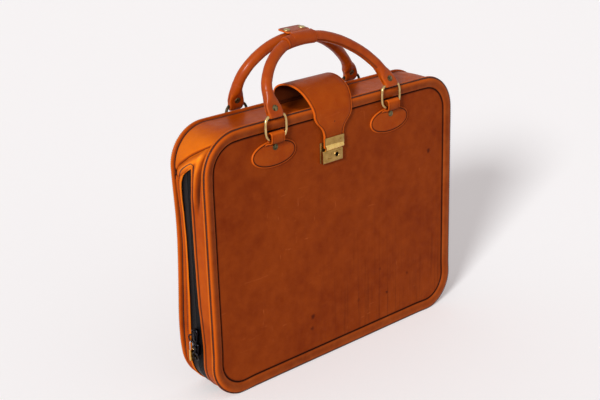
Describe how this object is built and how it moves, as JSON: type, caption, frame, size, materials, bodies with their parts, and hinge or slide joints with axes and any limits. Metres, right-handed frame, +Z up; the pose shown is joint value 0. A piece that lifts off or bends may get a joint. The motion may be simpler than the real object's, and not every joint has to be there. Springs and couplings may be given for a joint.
{
  "type": "leather travel case",
  "caption": "Slim leather case with two framed panels, a zip round three sides, a locking flap over the top, and a pair of rolled handles on rings.",
  "frame": {"origin": "middle of the case's outline and depth, on the floor under the two rims", "axes": "+Z up, -Y out of the front panel with the lock, +X to the right seen from the front"},
  "size_m": [0.5266, 0.1006, 0.5295],
  "materials": {
    "panel_leather": "dark tan leather, low gloss",
    "border_leather": "tan leather, glossy",
    "rim_leather": "tan leather over a rim, glossy",
    "gusset_leather": "bright orange-tan leather, glossy",
    "strap_leather": "thick tan leather with dressed edges",
    "grip_leather": "rolled leather, worn glossy",
    "sleeve_leather": "light tan leather",
    "board": "pressed fibre board",
    "lining": "woven cotton lining",
    "cord": "laid cotton cord",
    "zip_tape": "woven black tape",
    "zip_metal": "blackened teeth and sliders",
    "brass": "worn satin brass",
    "antique_brass": "antique brass",
    "steel": "bright plated steel"
  },
  "bodies": {
    "back_half": {"rear_panel": "panel_leather", "rear_border": "border_leather", "rear_rim": "rim_leather", "rear_board": "board", "rear_lining": "lining", "top_gusset": "gusset_leather", "rear_side_gusset": "gusset_leather", "rear_zip_tape": "zip_tape", "rear_zip_chain": "zip_metal", "flap_anchor": "strap_leather", "rear_left_chape": "strap_leather", "rear_right_chape": "strap_leather", "rear_chape_rivets": "antique_brass"},
    "front_half": {"front_panel": "panel_leather", "front_border": "border_leather", "front_rim": "rim_leather", "front_board": "board", "front_lining": "lining", "front_side_gusset": "gusset_leather", "front_zip_tape": "zip_tape", "front_zip_chain": "zip_metal", "front_left_chape": "strap_leather", "front_right_chape": "strap_leather", "front_chape_rivets": "antique_brass", "lock_case": "brass"},
    "key_cylinder": {"lock_cylinder": "brass"},
    "heel": {"flap_heel": "strap_leather"},
    "flap_body": {"flap": "strap_leather", "hasp_plate": "brass", "hasp_rivets": "brass"},
    "front_rings": {"front_left_ring": "brass", "front_right_ring": "brass"},
    "front_handle": {"front_grip": "grip_leather", "front_grip_core": "cord", "front_handle_ends": "strap_leather", "front_handle_rivets": "antique_brass", "handle_sleeve": "sleeve_leather"},
    "tab": {"handle_tab": "strap_leather", "tab_snaps": "antique_brass"},
    "rear_rings": {"rear_left_ring": "brass", "rear_right_ring": "brass"},
    "rear_handle": {"rear_grip": "grip_leather", "rear_grip_core": "cord", "rear_handle_ends": "strap_leather", "rear_handle_rivets": "antique_brass"},
    "upper_slider_body": {"upper_slider": "zip_metal"},
    "lower_slider_body": {"lower_slider": "zip_metal"},
    "upper_pull": {"upper_pull_ring": "zip_metal"},
    "lower_pull": {"lower_pull_ring": "zip_metal"},
    "shackle": {"padlock_shackle": "steel"},
    "padlock": {"padlock_body": "brass"}
  },
  "joints": [
    {"name": "lid_open", "type": "hinge", "parent": "back_half", "child": "front_half", "pos_m": [0, -0.033, 0.413], "axis": [-1, 0, 0], "range_deg": [0, 80]},
    {"name": "key_turn", "type": "hinge", "parent": "front_half", "child": "key_cylinder", "pos_m": [-0.01, -0.044, 0.3335], "axis": [0, -1, 0], "range_deg": [0, 90]},
    {"name": "flap_lift", "type": "hinge", "parent": "back_half", "child": "heel", "pos_m": [-0.01, 0.03133, 0.4143], "axis": [-1, 0, 0], "range_deg": [0, 80]},
    {"name": "flap_open", "type": "hinge", "parent": "heel", "child": "flap_body", "pos_m": [-0.01, 0.0286, 0.42165], "axis": [-1, 0, 0], "range_deg": [0, 80]},
    {"name": "front_rings_tilt", "type": "hinge", "parent": "front_half", "child": "front_rings", "pos_m": [-0.01, -0.04482, 0.383], "axis": [-1, 0, 0], "range_deg": [-80, 0]},
    {"name": "front_handle_fall", "type": "hinge", "parent": "front_rings", "child": "front_handle", "pos_m": [-0.01, -0.04482, 0.421], "axis": [1, 0, 0], "range_deg": [0, 110]},
    {"name": "tab_lift", "type": "hinge", "parent": "front_handle", "child": "tab", "pos_m": [-0.04031, -0.00684, 0.52399], "axis": [1, 0, 0], "range_deg": [0, 100]},
    {"name": "rear_rings_tilt", "type": "hinge", "parent": "back_half", "child": "rear_rings", "pos_m": [-0.01, 0.04482, 0.383], "axis": [-1, 0, 0], "range_deg": [0, 65]},
    {"name": "rear_handle_fall", "type": "hinge", "parent": "rear_rings", "child": "rear_handle", "pos_m": [-0.01, 0.04482, 0.421], "axis": [-1, 0, 0], "range_deg": [0, 130]},
    {"name": "upper_slider_run", "type": "slide", "parent": "back_half", "child": "upper_slider_body", "axis": [0, 0, 1], "range_m": [0, 0.23]},
    {"name": "lower_slider_run", "type": "hinge", "parent": "back_half", "child": "lower_slider_body", "pos_m": [-0.2, 0.001, 0.06], "axis": [0, -1, 0], "range_deg": [0, 90]},
    {"name": "upper_pull_swing", "type": "hinge", "parent": "upper_slider_body", "child": "upper_pull", "pos_m": [-0.26165, 0.0055, 0.091], "axis": [0, 0, 1], "range_deg": [0, 90]},
    {"name": "lower_pull_swing", "type": "hinge", "parent": "lower_slider_body", "child": "lower_pull", "pos_m": [-0.26165, 0.001, 0.073], "axis": [0, 1, 0], "range_deg": [0, 150]},
    {"name": "padlock_swing", "type": "hinge", "parent": "upper_pull", "child": "shackle", "pos_m": [-0.26165, 0.01175, 0.08475], "axis": [0, 1, 0], "range_deg": [0, 60]},
    {"name": "padlock_release", "type": "slide", "parent": "shackle", "child": "padlock", "axis": [0, 0, -1], "range_m": [0, 0.004]}
  ],
  "couplings": [
    {"joint": "flap_lift", "follows": "lid_open", "ratio": 1},
    {"joint": "front_rings_tilt", "follows": "lid_open", "ratio": -1},
    {"joint": "rear_rings_tilt", "follows": "rear_handle_fall", "ratio": 0.5}
  ]
}
